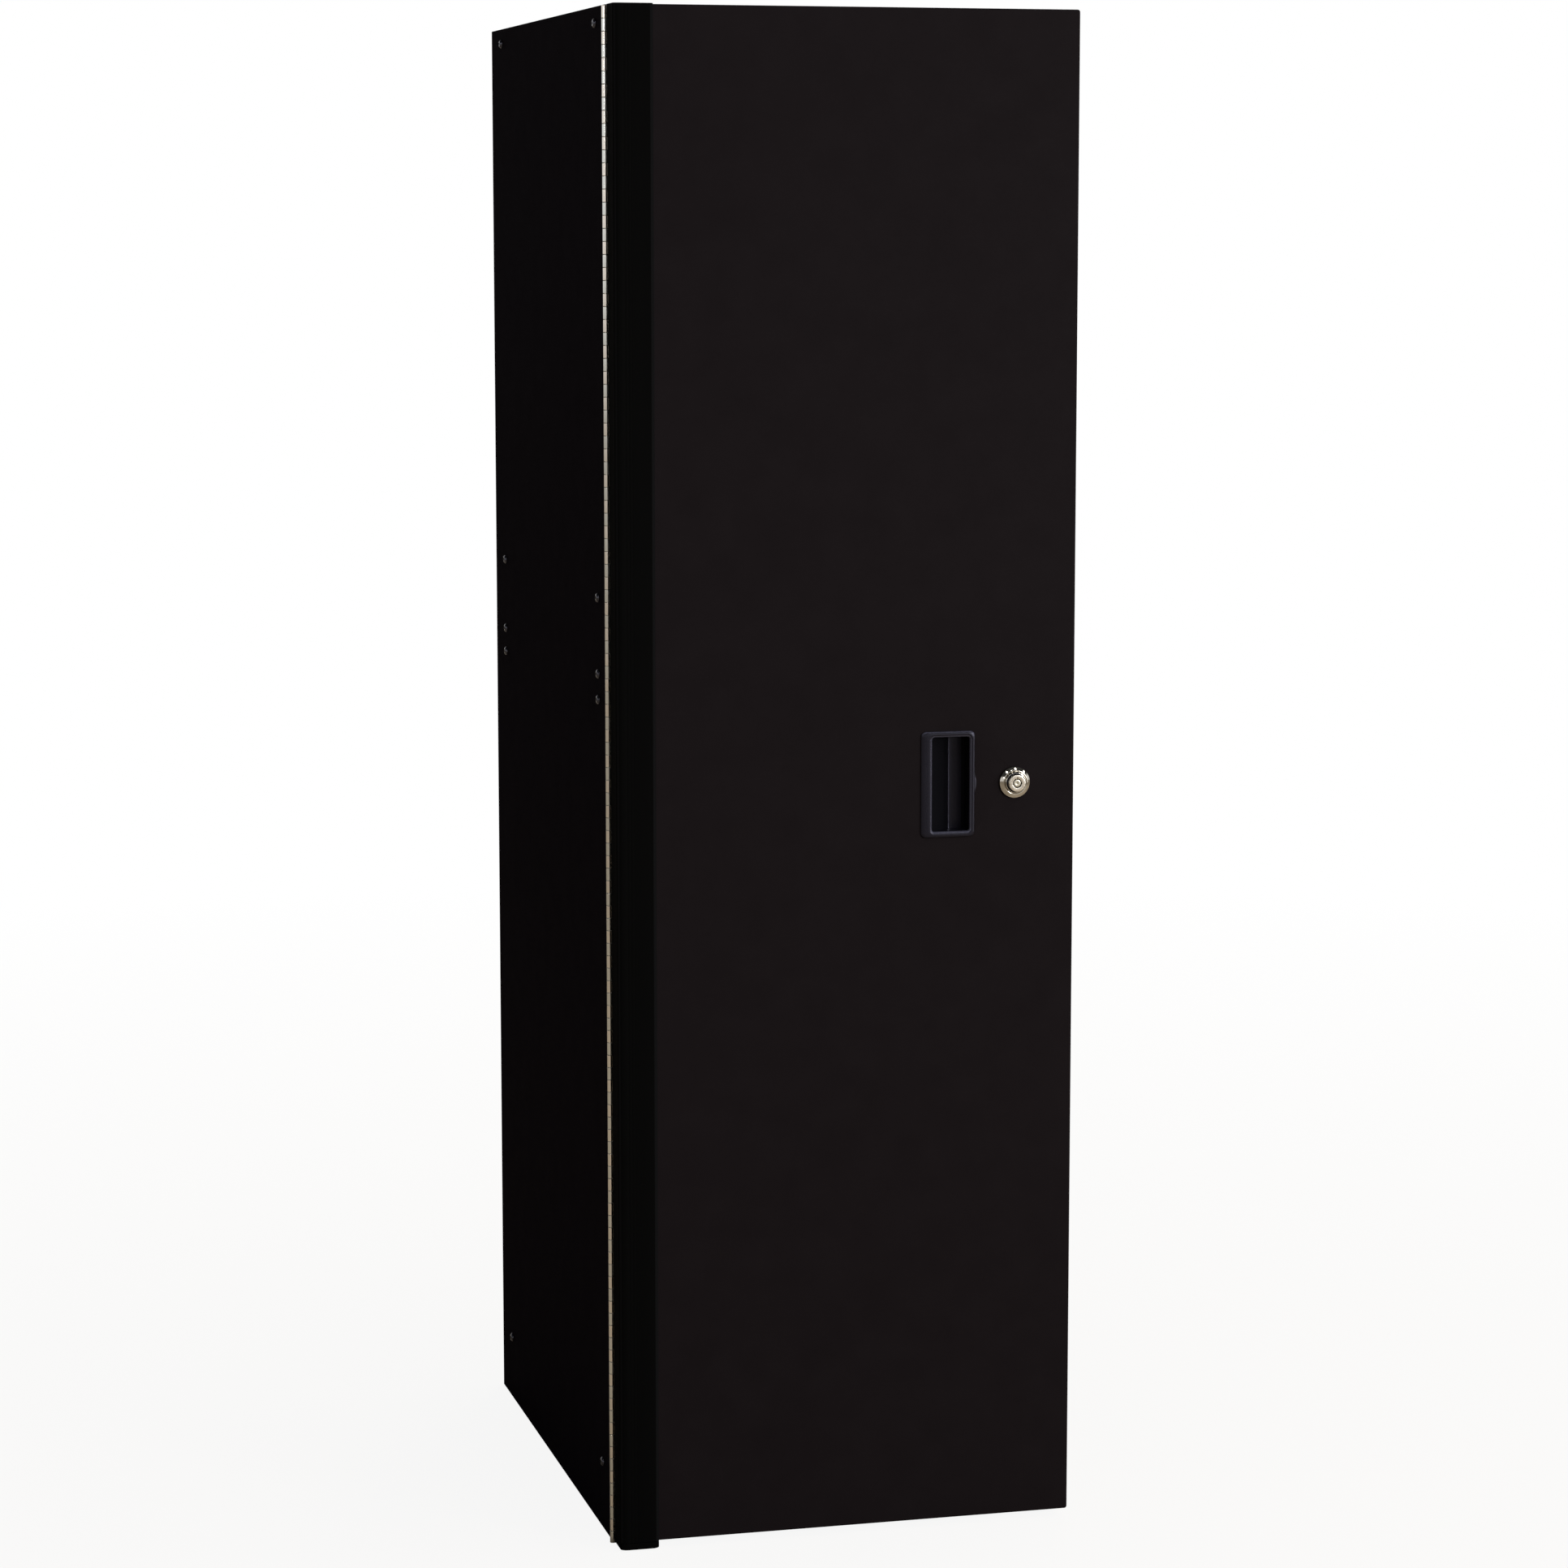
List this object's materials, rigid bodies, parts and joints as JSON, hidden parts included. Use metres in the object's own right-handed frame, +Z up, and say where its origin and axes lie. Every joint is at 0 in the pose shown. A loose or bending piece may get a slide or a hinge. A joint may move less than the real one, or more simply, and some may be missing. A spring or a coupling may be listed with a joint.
{
  "type": "tool chest side locker",
  "caption": "Tall sheet-steel side locker for a tool chest, with a full-height hinged door, flush cup pull, key lock and shelves on slotted uprights.",
  "frame": {"origin": "on the floor, under the middle of the whole locker's box", "axes": "+Z up; the door faces -Y and hangs on the left, at -X"},
  "size_m": [0.4804, 0.6542, 1.5494],
  "materials": {
    "case_enamel": "satin",
    "door_enamel": "satin",
    "black_anodised": "satin",
    "black_plastic": "matte",
    "lock_chrome": "polished",
    "plated_steel": "bright",
    "galvanised_steel": "dull",
    "black_oxide_steel": "satin",
    "bumper_rubber": "matte"
  },
  "bodies": {
    "cabinet": {"left_side_panel": "case_enamel", "right_side_panel": "case_enamel", "back_panel": "case_enamel", "top_panel": "case_enamel", "bottom_panel": "case_enamel", "upright_front_left": "case_enamel", "upright_rear_left": "case_enamel", "upright_front_right": "case_enamel", "upright_rear_right": "case_enamel", "shelf_lower": "case_enamel", "shelf_clip_lower_front_left": "galvanised_steel", "shelf_clip_lower_rear_left": "galvanised_steel", "shelf_clip_lower_front_right": "galvanised_steel", "shelf_clip_lower_rear_right": "galvanised_steel", "shelf_middle": "case_enamel", "shelf_clip_middle_front_left": "galvanised_steel", "shelf_clip_middle_rear_left": "galvanised_steel", "shelf_clip_middle_front_right": "galvanised_steel", "shelf_clip_middle_rear_right": "galvanised_steel", "shelf_upper": "case_enamel", "shelf_clip_upper_front_left": "galvanised_steel", "shelf_clip_upper_rear_left": "galvanised_steel", "shelf_clip_upper_front_right": "galvanised_steel", "shelf_clip_upper_rear_right": "galvanised_steel", "side_screw_1": "black_oxide_steel", "side_screw_2": "black_oxide_steel", "side_screw_3": "black_oxide_steel", "side_screw_4": "black_oxide_steel", "side_screw_5": "black_oxide_steel", "side_screw_6": "black_oxide_steel", "side_screw_7": "black_oxide_steel", "side_screw_8": "black_oxide_steel", "side_screw_9": "black_oxide_steel", "side_screw_10": "black_oxide_steel", "hinge_leaf_cabinet": "plated_steel", "hinge_pin": "plated_steel", "bumper_bottom": "bumper_rubber", "bumper_top": "bumper_rubber"},
    "door": {"hinge_leaf_door": "plated_steel", "door_skin": "door_enamel", "door_inner_panel": "case_enamel", "door_stiffener": "galvanised_steel", "door_trim": "black_anodised", "trim_cap": "black_plastic", "handle_cup": "black_plastic", "lock_collar": "lock_chrome", "lock_housing": "lock_chrome", "lock_nut": "plated_steel"},
    "lock": {"lock_spindle": "plated_steel", "lock_cam": "plated_steel", "lock_cam_nut": "plated_steel"}
  },
  "joints": [
    {"name": "door_hinge", "type": "hinge", "parent": "cabinet", "child": "door", "pos_m": [-0.23745, -0.2856, 0.7747], "axis": [0, 0, -1], "range_deg": [0, 180]},
    {"name": "lock_turn", "type": "hinge", "parent": "door", "child": "lock", "pos_m": [0.1767, -0.3161, 0.7755], "axis": [0, 1, 0], "range_deg": [0, 90]}
  ]
}
